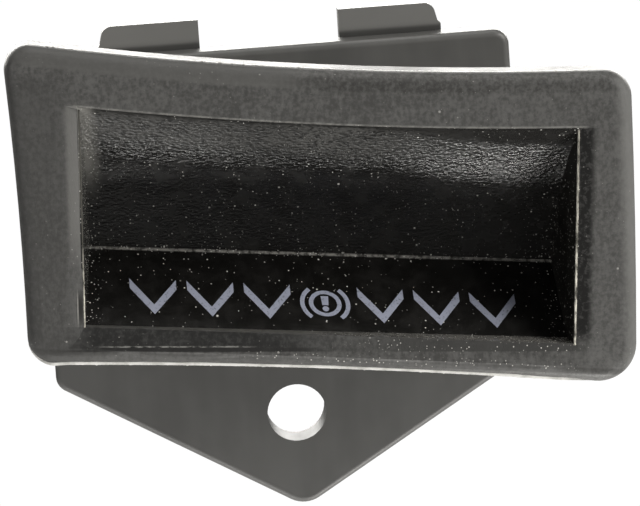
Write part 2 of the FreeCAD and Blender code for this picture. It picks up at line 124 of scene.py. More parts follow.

# Tones of the handle's rim, in linear colour: painted shade on its left end, crest, right dip and foot,
# painted light on its shoulder, right end and left dip, and its own marks
RIM_DARK = (0.041, 0.0402, 0.0385)
RIM_PALE = (0.088, 0.087, 0.084)
LEFT_END_PAINTED_SHADE = (0.040, 0.0395, 0.038)
SHOULDER_PAINTED_LIGHT = (0.102, 0.101, 0.097)
CREST_PAINTED_SHADE = (0.046, 0.0455, 0.0437)
RIGHT_END_PAINTED_LIGHT = (0.150, 0.149, 0.144)
LEFT_DIP_PAINTED_LIGHT = (0.122, 0.120, 0.115)
RIGHT_DIP_PAINTED_SHADE = (0.010, 0.0098, 0.0093)
FOOT_PAINTED_SHADE = (0.040, 0.0395, 0.038)
BAR_DARK = (0.030, 0.0295, 0.028)
STREAK_BLACK = (0.018, 0.0177, 0.017)
STREAK_PALE = (0.28, 0.274, 0.26)
RUBBED_BLACK = (0.008, 0.0078, 0.0075)
LINE_BLACK = (0.012, 0.0115, 0.011)
SCRATCH_PALE = (0.28, 0.275, 0.26)
TOP_LINE_PALE = (0.24, 0.235, 0.22)
RIM_GRAIN = (0.50, 0.49, 0.46)

# Tones of the recess, with painted light on the scoop's right part and a grey of dust and painted sheen in
# its upper band
RECESS_BLACK = (0.0056, 0.0053, 0.0048)
RECESS_CLOUD = (0.0112, 0.0107, 0.0099)
RECESS_RIGHT_PAINTED_LIGHT = (0.022, 0.0215, 0.0205)
WALL_BLACK = (0.012, 0.0118, 0.011)
WALL_STREAK = (0.120, 0.1175, 0.108)
DUST_AND_SHEEN_GREY = (0.060, 0.0587, 0.0555)
CORNER_GREY = (0.190, 0.186, 0.172)
LEDGE_DUST = (0.20, 0.194, 0.180)
CREASE_DUST = (0.30, 0.292, 0.272)
RECESS_GRAIN = (0.74, 0.725, 0.685)

# Tones of the bracket with painted shade low on its plate, painted light on its tabs and a painted shadow at
# their foot, of the print, and of the flash and the polished edges, whose bright colours are painted
# highlights
PLATE_PAINTED_SHADE_DARK = (0.054, 0.0532, 0.0512)
PLATE_PAINTED_SHADE_PALE = (0.070, 0.0692, 0.0668)
PLATE_HIGH_DARK = (0.100, 0.099, 0.095)
PLATE_HIGH_PALE = (0.126, 0.125, 0.120)
PLATE_SPECK = (0.32, 0.32, 0.31)
TAB_PAINTED_LIGHT = (0.205, 0.203, 0.195)
TAB_FOOT_PAINTED_SHADOW = (0.035, 0.0345, 0.033)
PRINT_WORN = (0.12, 0.126, 0.15)
PRINT_PALE = (0.30, 0.320, 0.405)
FLASH_HIGHLIGHT_DULL = (0.66, 0.65, 0.62)
FLASH_HIGHLIGHT_PALE = (0.92, 0.91, 0.88)
BEAD_WORN = (0.06, 0.058, 0.050)
BEAD_HIGHLIGHT = (0.76, 0.73, 0.64)
BEAD_HIGHLIGHT_FAINT = (0.60, 0.576, 0.504)

# The camera that took the photograph: its place, its three turns and its lens
CAMERA_PLACE = Vector((-15.75, -332.14, 104.98)) * MM
CAMERA_HEADING_DEG = 3.5
CAMERA_TILT_DEG = 14.0
CAMERA_ROLL_DEG = 3.8
CAMERA_LENS = 144.0
CAMERA_SENSOR = 36.0
CAMERA_NEAR = 0.01

# The stage, in metres: the lamps are a little warm, and the floor turns white away from the object
LAMP_TINT = (1.0, 0.985, 0.95)
WORLD_LIGHT = 0.06
FLOOR_Z = -0.32
FLOOR_SIZE = 14.0
FLOOR_TONE = 0.8
FLOOR_WHITE = 1.02
FLOOR_WHITE_SHARE_NEAR = 0.72
SHADOW_REACH = 0.6
SHADOW_HEART = 0.3


class Graph:
    """Short calls that wire a material's nodes."""

    def __init__(self, name):
        self.material = bpy.data.materials.new(name)
        self.material.use_nodes = True
        self.tree = self.material.node_tree
        self.shader = self.tree.nodes["Principled BSDF"]
        place = self.add("ShaderNodeTexCoord").outputs["Object"]
        scaled = self.add("ShaderNodeVectorMath", operation="SCALE")
        self.link(place, scaled.inputs[0])
        scaled.inputs["Scale"].default_value = 1 / MM
        self.place = scaled.outputs[0]
        parts = self.add("ShaderNodeSeparateXYZ")
        self.link(self.place, parts.inputs[0])
        self.x, self.y, self.z = parts.outputs

    def add(self, kind, **settings):
        """A new node with these settings."""
        node = self.tree.nodes.new(kind)
        for key, value in settings.items():
            setattr(node, key, value)
        return node

    def link(self, source, target):
        """Gives an input a number, or a link from another node."""
        if isinstance(source, (int, float)):
            target.default_value = source
        else:
            self.tree.links.new(source, target)

    def number(self, operation, a, b=0.0):
        node = self.add("ShaderNodeMath", operation=operation)
        self.link(a, node.inputs[0])
        self.link(b, node.inputs[1])
        return node.outputs[0]

    def plus(self, a, b):
        return self.number("ADD", a, b)

    def minus(self, a, b):
        return self.number("SUBTRACT", a, b)

    def times(self, a, b):
        return self.number("MULTIPLY", a, b)

    def all(self, *masks):
        """The masks multiplied: 1 only where every one is 1."""
        result = masks[0]
        for mask in masks[1:]:
            result = self.times(result, mask)
        return result

    def most(self, *masks):
        """The greatest of the masks."""
        result = masks[0]
        for mask in masks[1:]:
            result = self.number("MAXIMUM", result, mask)
        return result

    def absolute(self, value):
        return self.number("ABSOLUTE", value)

    def step(self, value, low, high):
        """0 below low, 1 above high, smooth between."""
        node = self.add("ShaderNodeMapRange", interpolation_type="SMOOTHSTEP")
        self.link(value, node.inputs["Value"])
        node.inputs["From Min"].default_value = low
        node.inputs["From Max"].default_value = high
        return node.outputs[0]

    def fade(self, value, low, high):
        """1 below low, 0 above high, smooth between."""
        return self.minus(1.0, self.step(value, low, high))

    def line(self, value, width):
        """1 where the value is near nought, within the width."""
        return self.fade(self.absolute(value), width * 0.35, width)

    def noise(self, size, detail=3.0, rough=0.5, stretch=None):
        """Noise whose features are about as large as the size, in millimetres."""
        node = self.add("ShaderNodeTexNoise", noise_dimensions="3D")
        node.inputs["Scale"].default_value = 1.0 / size
        node.inputs["Detail"].default_value = detail
        node.inputs["Roughness"].default_value = rough
        self.link(self.stretched(stretch), node.inputs["Vector"])
        return node.outputs["Fac"]

    def stretched(self, stretch):
        """The place in millimetres, with each axis multiplied."""
        if stretch is None:
            return self.place
        node = self.add("ShaderNodeVectorMath", operation="MULTIPLY")
        self.link(self.place, node.inputs[0])
        node.inputs[1].default_value = stretch
        return node.outputs[0]

    def cells(self, size, stretch=None):
        """Cells about as large as the size, in millimetres."""
        node = self.add("ShaderNodeTexVoronoi", feature="F1")
        node.inputs["Scale"].default_value = 1.0 / size
        self.link(self.stretched(stretch), node.inputs["Vector"])
        return node

    def specks(self, pitch, radius, share):
        """Round specks of a radius, in a share of the cells of that pitch."""
        cells = self.cells(pitch)
        chance = self.add("ShaderNodeSeparateColor")
        self.link(cells.outputs["Color"], chance.inputs[0])
        on = self.step(chance.outputs[0], 1 - share, 1 - share + 0.02)
        size = self.plus(self.times(chance.outputs[1], radius * 0.7 / pitch), radius * 0.45 / pitch)
        near = self.minus(1.0, self.number("DIVIDE", cells.outputs["Distance"], size))
        return self.times(self.step(near, 0.0, 0.5), on)

    def mix(self, factor, a, b):
        """A colour that goes from a to b."""
        node = self.add("ShaderNodeMix", data_type="RGBA")
        self.link(factor, node.inputs["Factor"])
        for value, target in ((a, node.inputs["A"]), (b, node.inputs["B"])):
            if isinstance(value, tuple):
                target.default_value = (*value, 1.0)
            else:
                self.link(value, target)
        return node.outputs["Result"]

    def blend(self, factor, a, b):
        """A number that goes from a to b."""
        node = self.add("ShaderNodeMix", data_type="FLOAT")
        self.link(factor, node.inputs["Factor"])
        self.link(a, node.inputs["A"])
        self.link(b, node.inputs["B"])
        return node.outputs["Result"]

    def bump(self, height, distance_mm, below=None):
        """A normal from a height, laid over another normal where one is given."""
        node = self.add("ShaderNodeBump")
        node.inputs["Distance"].default_value = distance_mm * MM
        self.link(height, node.inputs["Height"])
        if below is not None:
            self.link(below, node.inputs["Normal"])
        return node.outputs[0]

    def set(self, name, source):
        """Feeds an input of the surface shader."""
        self.link(source, self.shader.inputs[name])


class Recess:
    """Sockets that say where a point of the handle lies, in millimetres from the recess's edges."""

    def __init__(self, g):
        self.across = g.minus(g.x, RECESS_CENTRE_X)
        self.level = g.plus(g.z, g.times(self.across, SLOPE))
        self.depth = g.minus(g.y, FACE_Y)
        part = g.times(self.across, 1 / RECESS_HALF_WIDTH)
        sag = g.times(g.minus(1.0, g.times(part, part)), RECESS_TOP_SAG)
        self.below_top = g.minus(g.minus(RECESS_TOP_Z, sag), self.level)
        reach = g.times(g.plus(self.across, RECESS_CENTRE_X - BEZEL_CENTRE.x), 1 / BEZEL_HALF_WIDTH)
        bow = g.times(g.minus(1.0, g.times(reach, reach)), BEZEL_TOP_SAG)
        self.below_edge = g.minus(g.minus(BEZEL_CENTRE.z + BEZEL_HALF_HEIGHT, bow), self.level)
        self.from_crease = g.minus(self.level, CREASE_Z)
        self.from_front = g.minus(self.level, LEDGE_FRONT_Z)
        lean = g.times(g.minus(g.z, RECESS_MIDDLE_Z), RECESS_LEAN)
        draft = g.times(g.minus(self.depth, RIM_DIP), RECESS_DRAFT)
        side = g.absolute(g.minus(self.across, lean))
        self.from_wall = g.minus(g.minus(RECESS_HALF_WIDTH, draft), side)
        self.left = g.fade(self.across, -6.0, 0.0)
        straight_depth = g.minus(self.depth, g.times(self.across, RECESS_TURN))
        self.at_crease = g.step(straight_depth, CREASE_DEPTH - 0.6, CREASE_DEPTH - 0.2)
        self.before_back = g.fade(straight_depth, CREASE_DEPTH + 0.3, CREASE_DEPTH + 0.8)
        self.above_scratch = g.minus(self.level, g.plus(g.times(self.across, SCRATCH_RISE), SCRATCH_LEVEL))


class Zones:
    """Masks of the handle's areas, from 0 to 1. Their places and widths are in millimetres."""

    def __init__(self, g, recess):
        normal = g.add("ShaderNodeSeparateXYZ")
        g.link(g.add("ShaderNodeNewGeometry").outputs["Normal"], normal.inputs[0])
        self.front = g.fade(normal.outputs[1], 0.05, 0.2)
        self.sideways = g.step(g.absolute(normal.outputs[0]), 0.5, 0.7)
        self.upward = g.step(normal.outputs[2], 0.88, 0.95)
        self.right = g.minus(1.0, recess.left)
        self.set_pocket(g, recess)
        self.set_scoop(g, recess)
        self.set_edges(g, recess)
        self.on_rim = g.times(self.rim, self.front)
        self.set_dips(g, recess)
        self.set_crown(g, recess)
        self.set_bar(g, recess)

    def set_pocket(self, g, recess):
        """The recess as a whole, its side walls and its corners."""
        inside = g.all(g.step(recess.from_wall, -0.30, -0.15), g.step(recess.below_top, -0.06, 0.1),
                       g.step(recess.from_front, -0.9, -0.7))
        sunk = g.step(recess.depth, RIM_DIP + 0.08, RIM_DIP + 0.25)
        above = g.step(recess.from_crease, 0.0, 0.3)
        self.pocket = g.all(g.most(sunk, above), inside, self.front, recess.before_back)
        self.rim = g.minus(1.0, self.pocket)
        self.left_wall = g.all(self.pocket, self.sideways, recess.left)
        self.right_wall = g.all(self.pocket, self.sideways, self.right)
        self.corner = g.all(self.pocket, g.fade(recess.from_wall, 0.2, 2.4))
        self.high_corner = g.all(self.corner, recess.left, g.step(recess.level, 29.0, 36.0))

    def set_scoop(self, g, recess):
        """The scoop, its leather grain, which sits lower on the right, its right part, which gets painted
        light, and the band on the left where dust and a painted sheen lie.
        """
        self.scoop = g.all(self.pocket, g.step(recess.from_crease, -0.1, 0.5), g.minus(1.0, self.sideways))
        to_right = g.step(recess.across, 6.0, 24.0)
        self.right_scoop = g.times(self.scoop, to_right)
        high = g.step(g.minus(recess.below_top, g.times(to_right, 1.9)), -0.2, 2.2)
        low = g.fade(g.minus(recess.below_top, g.times(to_right, 2.0)), 5.4, 8.6)
        self.grainy = g.all(self.scoop, high, low)
        self.dust_and_painted_sheen = g.all(self.scoop, g.step(recess.below_top, -0.1, 0.6),
                          g.fade(recess.below_top, 3.4, 6.4), g.fade(recess.across, -2.0, 24.0))
        self.ends = g.step(g.absolute(recess.across), 4.0, 20.0)

    def set_edges(self, g, recess):
        """The ledge and the crease of the recess, where dust gathers."""
        self.ledge = g.all(self.pocket, self.upward, g.fade(recess.from_front, 1.0, 1.6))
        self.crease = g.all(self.pocket, recess.at_crease, g.line(recess.from_crease, 0.24))
        self.beside_crease = g.all(self.pocket, recess.at_crease, g.line(recess.from_crease, 0.85))

    def set_dips(self, g, recess):
        """Strips of the rim along the recess: a line over it, and beside it the dips, with painted light on
        the left one and painted shade on the right one, and worn streaks.
        """
        self.top_line = g.all(self.on_rim, g.line(g.plus(recess.below_top, 0.1), 0.2),
                              g.fade(recess.depth, 0.1, 0.3), g.step(recess.from_wall, -1.6, 0.0))
        beside = g.all(self.on_rim, g.fade(recess.depth, 0.8, 1.0), g.step(recess.below_top, -0.2, 0.2),
                       g.step(recess.from_wall, -RIM_DIP_SIDE_WIDTH - 0.2, -RIM_DIP_SIDE_WIDTH + 0.7),
                       g.fade(recess.from_wall, -0.3, 0.1), g.step(recess.from_front, -1.0, 2.0))
        self.left_dip = g.all(beside, recess.left, g.step(recess.from_wall, -2.0, -1.2),
                              g.step(recess.level, 22.0, 30.0))
        self.right_dip = g.all(beside, self.right, g.step(recess.from_wall, -2.4, -1.3))
        streaked = g.all(beside, recess.left, g.step(recess.level, 15.6, 16.6),
                         g.fade(recess.level, 19.5, 22.0))
        self.streak_dark = g.all(streaked, g.line(g.plus(recess.from_wall, 0.50), 0.62))
        self.streak_light = g.all(streaked, g.line(g.plus(recess.from_wall, 0.78), 0.13))

    def set_crown(self, g, recess):
        """The rolled edge, where light and shade are painted: its shoulder and crest along the top, both
        ends, and its foot with painted shade.
        """
        self.shoulder = g.all(self.on_rim, g.fade(recess.below_edge, 2.1, 2.7))
        self.crest = g.all(self.shoulder, recess.left, g.fade(recess.below_edge, 0.2, 1.5))
        self.left_end = g.all(self.on_rim, g.fade(recess.across, -34.0, -30.0),
                              g.step(recess.below_edge, 2.0, 6.0))
        self.right_end = g.all(self.on_rim, g.step(recess.across, 35.8, 38.0))
        darker = g.most(g.fade(recess.across, 4.0, 22.0), g.step(recess.level, 12.4, 12.8))
        self.under = g.all(self.on_rim, g.fade(recess.level, 13.3, 13.7), darker)

    def set_bar(self, g, recess):
        """The bar under the recess, with its rubbed left half, its scratch and its row of grains."""
        low = g.all(self.on_rim, g.fade(recess.from_front, -0.1, 0.1), g.fade(recess.depth, 0.8, 1.0))
        bar = g.all(low, g.step(recess.above_scratch, -0.75, -0.55), g.fade(recess.across, 29.0, 33.0))
        self.rubbed = g.all(bar, g.step(recess.across, -36.0, -30.0), g.fade(recess.across, -10.0, 4.0))
        self.right_bar = g.all(bar, g.step(recess.across, -2.0, 12.0))
        short = g.all(g.step(recess.across, -31.0, -28.0), g.fade(recess.across, -14.0, -9.0))
        self.scratch = g.all(low, short, g.line(recess.above_scratch, 0.14))
        self.dark_line = g.all(low, g.step(recess.across, -32.0, -29.0), g.fade(recess.across, -8.0, 2.0),
                               g.line(g.plus(recess.above_scratch, 0.36), 0.34))
        along = g.all(g.step(recess.across, -14.0, -8.0), g.fade(recess.across, 27.0, 32.0))
        self.grain_row = g.all(low, along, g.line(g.minus(recess.level, GRAIN_LEVEL), 0.75))


def leather_grain(g):
    """The scoop's pebbled grain, flattened sideways."""
    cells = g.cells(0.38, (0.6, 0.4, 1.15))
    return g.plus(cells.outputs["Distance"], g.times(g.noise(0.30, 2.0, 0.5, (0.6, 0.4, 1.1)), 2.0))


def rim_colour(g, recess, zones, cloud):
    """The rim: mottled grey, with paler, darker, rubbed and scratched places laid over it in turn; the paler
    and darker tones of its shoulder, crest, ends, dips and foot are painted light and painted shade.
    """
    smudge = g.noise(13.0, 3.0)
    mottle = g.noise(0.6, 4.0, 0.7)
    brushed = g.noise(0.5, 3.0, 0.6, (1.0, 1.0, 0.22))
    broad = g.plus(g.times(smudge, 0.2), g.times(cloud, 0.12))
    tone = g.plus(broad, g.plus(g.times(brushed, 0.2), g.times(mottle, 0.48)))
    colour = g.mix(g.step(tone, 0.39, 0.61), RIM_DARK, RIM_PALE)
    left_shoulder = g.all(zones.shoulder, recess.left)
    speckled = g.blend(g.step(mottle, 0.48, 0.62), 1.0, 0.6)
    worn = g.plus(g.times(mottle, 0.6), 0.3)
    scuffed = g.blend(g.step(mottle, 0.45, 0.65), 0.95, 0.70)
    broken = g.step(g.noise(0.5, 4.0, 0.65, (0.4, 1.0, 1.0)), 0.40, 0.60)
    # The left end, crest, right dip and foot get painted shade; the shoulder, right end and left dip get
    # painted light
    layers = [(zones.left_end, 0.5, LEFT_END_PAINTED_SHADE), (left_shoulder, 0.75, SHOULDER_PAINTED_LIGHT),
              (zones.crest, 0.75, CREST_PAINTED_SHADE), (zones.right_end, 0.8, RIGHT_END_PAINTED_LIGHT),
              (zones.left_dip, 0.8, LEFT_DIP_PAINTED_LIGHT), (zones.right_dip, speckled, RIGHT_DIP_PAINTED_SHADE),
              (zones.under, 0.5, FOOT_PAINTED_SHADE), (zones.right_bar, 0.85, BAR_DARK),
              (zones.streak_dark, 0.85, STREAK_BLACK), (zones.streak_light, worn, STREAK_PALE),
              (zones.rubbed, scuffed, RUBBED_BLACK), (zones.dark_line, 0.85, LINE_BLACK),
              (g.times(zones.scratch, broken), 0.65, SCRATCH_PALE),
              (zones.top_line, g.plus(g.times(broken, 0.35), 0.25), TOP_LINE_PALE)]
    return lay(g, colour, layers)


def lay(g, colour, layers):
    """Lays tones over a colour, each by its mask and amount."""
    for mask, amount, tone in layers:
        colour = g.mix(g.times(mask, amount), colour, tone)
    return colour


def handle_colour(g, recess, zones, cloud, leather):
    """Black plastic: grey on the rim, black in the recess, with dust and streaks on its edges and walls,
    painted light on the scoop's right part and a painted sheen mixed with dust high in the scoop.
    """
    black = g.mix(g.step(cloud, 0.4, 0.7), RECESS_BLACK, RECESS_CLOUD)
    # Painted light: the scoop's right part is paler
    black = g.mix(g.times(zones.right_scoop, 0.6), black, RECESS_RIGHT_PAINTED_LIGHT)
    colour = g.mix(zones.pocket, rim_colour(g, recess, zones, cloud), black)
    # Dust and a painted sheen in the scoop's upper band, grained like the leather and stronger on the left
    grain_pattern = g.step(g.plus(leather, g.times(cloud, 0.5)), 1.55, 1.80)
    dust_and_sheen_amount = g.times(g.plus(g.times(grain_pattern, 0.9), 0.03), g.blend(recess.left, 0.82, 0.50))
    streaks = g.step(g.noise(0.55, 3.0, 0.6, (1.0, 1.6, 0.05)), 0.44, 0.66)
    wall = g.mix(streaks, WALL_BLACK, WALL_STREAK)
    fibres = g.step(g.noise(0.7, 4.0, 0.65), 0.36, 0.60)
    layers = [(zones.dust_and_painted_sheen, dust_and_sheen_amount, DUST_AND_SHEEN_GREY), (zones.high_corner, 0.8, CORNER_GREY),
              (zones.left_wall, 0.9, wall),
              (g.times(zones.ledge, 0.95), g.plus(g.times(fibres, 0.5), 0.5), LEDGE_DUST),
              (zones.crease, g.plus(g.times(fibres, 0.8), 0.1), CREASE_DUST)]
    return lay(g, colour, layers)


def handle_dust(g, zones):
    """Dust grains: strewn thinly all over, thicker in patches, packed in the recess's corners and edges."""
    patches = g.step(g.noise(5.0, 3.0), 0.38, 0.66)
    fine = g.times(g.specks(0.70, 0.10, 0.55), g.plus(g.times(patches, 0.75), 0.25))
    fine = g.times(fine, g.blend(zones.pocket, 0.45, 1.0))
    clear = g.times(g.blend(zones.dust_and_painted_sheen, 1.0, 0.15), g.blend(zones.grainy, 1.0, 0.5))
    motes = g.all(g.specks(0.80, 0.125, 0.50), zones.pocket, clear)
    sown = g.times(zones.scoop, g.plus(g.times(zones.dust_and_painted_sheen, 0.3), 0.55))
    tiny = g.times(g.specks(0.34, 0.060, 0.28), sown)
    coarse = g.times(g.specks(2.4, 0.19, 0.38), g.blend(zones.pocket, 0.5, 1.0))
    packed = g.all(g.specks(0.42, 0.115, 0.75), zones.corner, g.blend(zones.right_wall, 1.0, 0.4))
    seams = g.most(zones.ledge, zones.beside_crease, zones.right_bar)
    crumbs = g.times(g.specks(0.40, 0.110, 0.65), seams)
    row = g.times(g.specks(0.42, 0.14, 0.65), g.most(zones.grain_row, g.times(zones.top_line, 0.4)))
    return g.most(fine, motes, tiny, coarse, packed, crumbs, row)


def handle_material():
    """Black moulding: satin rim, glossy black recess with a leather grain in its scoop, dust on both."""
    g = Graph("handle_black")
    recess = Recess(g)
    zones = Zones(g, recess)
    cloud = g.noise(2.4, 4.0, 0.6)
    dust = handle_dust(g, zones)
    leather = leather_grain(g)
    colour = handle_colour(g, recess, zones, cloud, leather)
    grain = g.mix(zones.pocket, RIM_GRAIN, RECESS_GRAIN)
    g.set("Base Color", g.mix(g.times(dust, 0.85), colour, grain))

    gloss = g.blend(zones.scoop, g.blend(zones.pocket, 0.46, 0.16), 0.24)
    gloss = g.plus(gloss, g.times(g.step(cloud, 0.4, 0.7), 0.06))
    matte = g.plus(g.times(zones.dust_and_painted_sheen, 0.2), g.times(zones.right_wall, 0.4))
    g.set("Roughness", g.plus(g.plus(gloss, g.times(dust, 0.3)), matte))
    dull = g.most(zones.right_dip, zones.under, zones.shoulder)
    grazed = g.blend(zones.ends, 0.33, g.blend(recess.left, 0.95, 0.70))
    shine = g.blend(zones.grainy, g.blend(zones.scoop, 0.5, 0.42), grazed)
    shine = g.times(shine, g.times(g.blend(dull, 1.0, 0.4), g.blend(zones.streak_dark, 1.0, 0.1)))
    g.set("Specular IOR Level", g.times(shine, g.blend(zones.right_wall, 1.0, 0.1)))

    leather = g.times(leather, g.blend(zones.grainy, 0.12, 1.0))
    satin = g.times(g.noise(0.22, 3.0, 0.6, (1.0, 1.0, 0.5)), zones.rim)
    grains = g.plus(g.times(satin, 0.7), g.times(dust, 0.8))
    height = g.plus(g.times(g.times(leather, zones.scoop), 3.2), grains)
    waves = g.bump(g.noise(6.0, 2.0), 0.05)
    g.set("Normal", g.bump(height, 0.04, waves))
    return g.material


def bracket_material():
    """Dark grey moulding: fine matte skin with faint flow marks, painted shade that darkens its lower part,
    tabs made paler by painted light, and a painted shadow along their foot.
    """
    g = Graph("bracket_grey")
    smudge = g.noise(11.0, 3.0)
    streak = g.noise(3.0, 2.0, 0.5, (1.0, 1.0, 0.22))
    tone = g.step(g.plus(g.times(smudge, 0.65), g.times(streak, 0.35)), 0.35, 0.65)
    high = g.mix(tone, PLATE_HIGH_DARK, PLATE_HIGH_PALE)
    low = g.mix(tone, PLATE_PAINTED_SHADE_DARK, PLATE_PAINTED_SHADE_PALE)
    # Painted shade: darker towards the bottom of the plate
    colour = g.mix(g.step(g.z, 12.0, 46.0), low, high)
    # Painted light on the tabs, then a painted shadow along their foot
    colour = g.mix(g.step(g.z, PLATE_TOP_Z, PLATE_TOP_Z + 1.5), colour, TAB_PAINTED_LIGHT)
    foot = g.line(g.minus(g.z, PLATE_TOP_Z + 0.1), 0.9)
    colour = g.mix(g.times(foot, 0.75), colour, TAB_FOOT_PAINTED_SHADOW)
    specks = g.times(g.specks(3.2, 0.10, 0.14), 0.5)
    g.set("Base Color", g.mix(specks, colour, PLATE_SPECK))
    g.set("Roughness", g.blend(g.noise(1.4, 3.0), 0.42, 0.52))
    skin = g.plus(g.times(g.noise(0.18, 2.0), 0.4), g.times(g.noise(4.0, 2.0), 2.0))
    g.set("Normal", g.bump(skin, 0.012))
    return g.material


def print_material():
    """Pale blue-grey pad print, a little worn through in specks."""
    g = Graph("pale_print")
    worn = g.step(g.noise(0.35, 3.0, 0.7), 0.30, 0.46)
    g.set("Base Color", g.mix(worn, PRINT_WORN, PRINT_PALE))
    g.set("Roughness", g.blend(worn, 0.35, 0.55))
    g.set("Normal", g.bump(g.noise(0.2, 2.0), 0.01))
    return g.material


def flash_material():
    """Thin moulding flash, coloured near-white as a painted highlight."""
    g = Graph("mould_flash_painted_highlight")
    tone = g.step(g.noise(1.6, 3.0, 0.6), 0.3, 0.6)
    g.set("Base Color", g.mix(tone, FLASH_HIGHLIGHT_DULL, FLASH_HIGHLIGHT_PALE))
    g.set("Roughness", g.blend(tone, 0.30, 0.45))
    return g.material


def bead_material(name, low, high, faint):
    """A recess edge polished by hands, coloured as a painted highlight: warm and bright below the low height,
    fainter above the high one.
    """
    g = Graph(name)
    fibres = g.step(g.noise(0.5, 4.0, 0.65, (1.0, 1.0, 0.3)), 0.36, 0.64)
    bright = g.mix(g.step(g.z, low, high), BEAD_HIGHLIGHT, tuple(tone * faint for tone in BEAD_HIGHLIGHT_FAINT))
    g.set("Base Color", g.mix(fibres, BEAD_WORN, bright))
    g.set("Roughness", g.blend(fibres, 0.25, 0.45))
    return g.material


def dress(node, material):
    """Gives a node of the frame its material."""
    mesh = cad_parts[node].data
    mesh.materials.clear()
    mesh.materials.append(material)


def mesh_piece(name, bm, body, material):
    """A new piece that rides on a body, in one of the part's material slots."""
    mesh = bpy.data.meshes.new(name)
    bm.to_mesh(mesh)
    bm.free()
    piece = bpy.data.objects.new(name, mesh)
    bpy.context.scene.collection.objects.link(piece)
    mesh.materials.append(material)
    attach(piece, body)


def panel_point(along, up, lift):
    """A point on the label panel: along its length, up from its foot, and off its face, in millimetres."""
    fall = Vector((1, RECESS_TURN, -SLOPE)).normalized()
    rise = Vector((0, CREASE_DEPTH - PANEL_FOOT_DEPTH, CREASE_Z - PANEL_FOOT_Z)).normalized()
    out = fall.cross(rise).normalized()
    if out.y > 0:
        out = -out
    base = Vector((RECESS_CENTRE_X, FACE_Y + PANEL_FOOT_DEPTH, PANEL_FOOT_Z))
    return (base + fall * along + rise * up + out * lift) * MM


def print_shape(bm, outline, hole=None):
    """A flat printed shape with a little thickness; an outline with a hole is a band between the two."""
    turn = math.radians(PRINT_TURN_DEG)

    def ring(points, lift):
        return [bm.verts.new(panel_point(a, b + (a - PRINT_CENTRE) * turn, lift)) for a, b in points]

    low = PRINT_LIFT
    high = PRINT_LIFT + PRINT_THICKNESS
    outer_low, outer_high = ring(outline, low), ring(outline, high)
    count = len(outline)
    if hole is None:
        bm.faces.new(outer_high)
        bm.faces.new(list(reversed(outer_low)))
        for i in range(count):
            j = (i + 1) % count
            bm.faces.new((outer_low[i], outer_low[j], outer_high[j], outer_high[i]))
        return
    inner_low, inner_high = ring(hole, low), ring(hole, high)
    for i in range(count):
        j = (i + 1) % count
        bm.faces.new((outer_high[i], outer_high[j], inner_high[j], inner_high[i]))
        bm.faces.new((outer_low[j], outer_low[i], inner_low[i], inner_low[j]))
        bm.faces.new((outer_low[i], outer_low[j], outer_high[j], outer_high[i]))
        bm.faces.new((inner_low[j], inner_low[i], inner_high[i], inner_high[j]))


def around(centre, radius, turns):
    """Points round a centre."""
    return [(centre[0] + radius * math.cos(t), centre[1] + radius * math.sin(t)) for t in turns]


def circle(centre, radius, count=48):
    """A whole circle of points."""
    return around(centre, radius, [math.radians(360.0 * i / count) for i in range(count)])


def arc(centre, radius, middle_deg, count=20):
    """Points of an arc, with its middle at that turn."""
    start = middle_deg - ARC_HALF_TURN_DEG
    turns = [math.radians(start + 2 * ARC_HALF_TURN_DEG * i / count) for i in range(count + 1)]
    return around(centre, radius, turns)


def brake_symbol(bm, along, half):
    """A ring between two arcs, around an exclamation mark."""
    centre = (along, PRINT_MIDDLE)
    print_shape(bm, circle(centre, half * RING_OUTER), circle(centre, half * RING_INNER))
    for side in (0.0, 180.0):
        inner = arc(centre, half * ARC_INNER, side)
        print_shape(bm, arc(centre, half * ARC_OUTER, side) + list(reversed(inner)))
    wide = MARK_WIDTH * half
    foot = PRINT_MIDDLE + MARK_FOOT * half
    top = PRINT_MIDDLE + MARK_TOP * half
    print_shape(bm, [(along - wide, foot), (along + wide, foot),
                     (along + wide * MARK_FLARE, top), (along - wide * MARK_FLARE, top)])
    dot = (along, PRINT_MIDDLE - DOT_MIDDLE * half)
    print_shape(bm, circle(dot, wide * DOT_SWELL, DOT_STEPS))


def arrowhead(bm, along, half):
    """A plain arrowhead that points down."""
    wide = half * ARROW_REACH
    band = half * ARROW_BAND
    top = PRINT_MIDDLE + half
    foot = PRINT_MIDDLE - half
    print_shape(bm, [(along - wide, top), (along - wide, top - band), (along, foot),
                     (along + wide, top - band), (along + wide, top), (along, foot + band)])


def generic_print(material):
    """The row of generic marks: a brake symbol between plain arrowheads."""
    bm = bmesh.new()
    half = PRINT_HEIGHT / 2
    for index in range(-ARROWS_PER_SIDE, ARROWS_PER_SIDE + 1):
        along = PRINT_CENTRE + index * PRINT_PITCH
        if index == 0:
            brake_symbol(bm, along, half)
        else:
            arrowhead(bm, along, half)
    bmesh.ops.recalc_face_normals(bm, faces=bm.faces)
    mesh_piece("panel_print", bm, "handle", material)


def bezel_edge_point(part, top):
    """A point on the bezel's widest line, along its top or bottom edge; part runs from -1 to 1."""
    x = BEZEL_CENTRE.x + part * BEZEL_HALF_WIDTH
    bow = 1 - part * part
    if top:
        z = BEZEL_CENTRE.z + BEZEL_HALF_HEIGHT - BEZEL_TOP_SAG * bow
    else:
        z = BEZEL_CENTRE.z - BEZEL_HALF_HEIGHT + BEZEL_BOTTOM_SAG * bow
    return Vector((x, FACE_Y + CROWN_DEPTH, z - (x - BEZEL_CENTRE.x) * SLOPE))


def close_rows(bm, rows):
    """Faces between neighbouring rows of points, and over both ends."""
    sides = len(rows[0])
    for a, b in zip(rows, rows[1:]):
        for i in range(sides):
            j = (i + 1) % sides
            bm.faces.new((a[i], a[j], b[j], b[i]))
    bm.faces.new(list(reversed(rows[0])))
    bm.faces.new(rows[-1])
    bmesh.ops.recalc_face_normals(bm, faces=bm.faces)


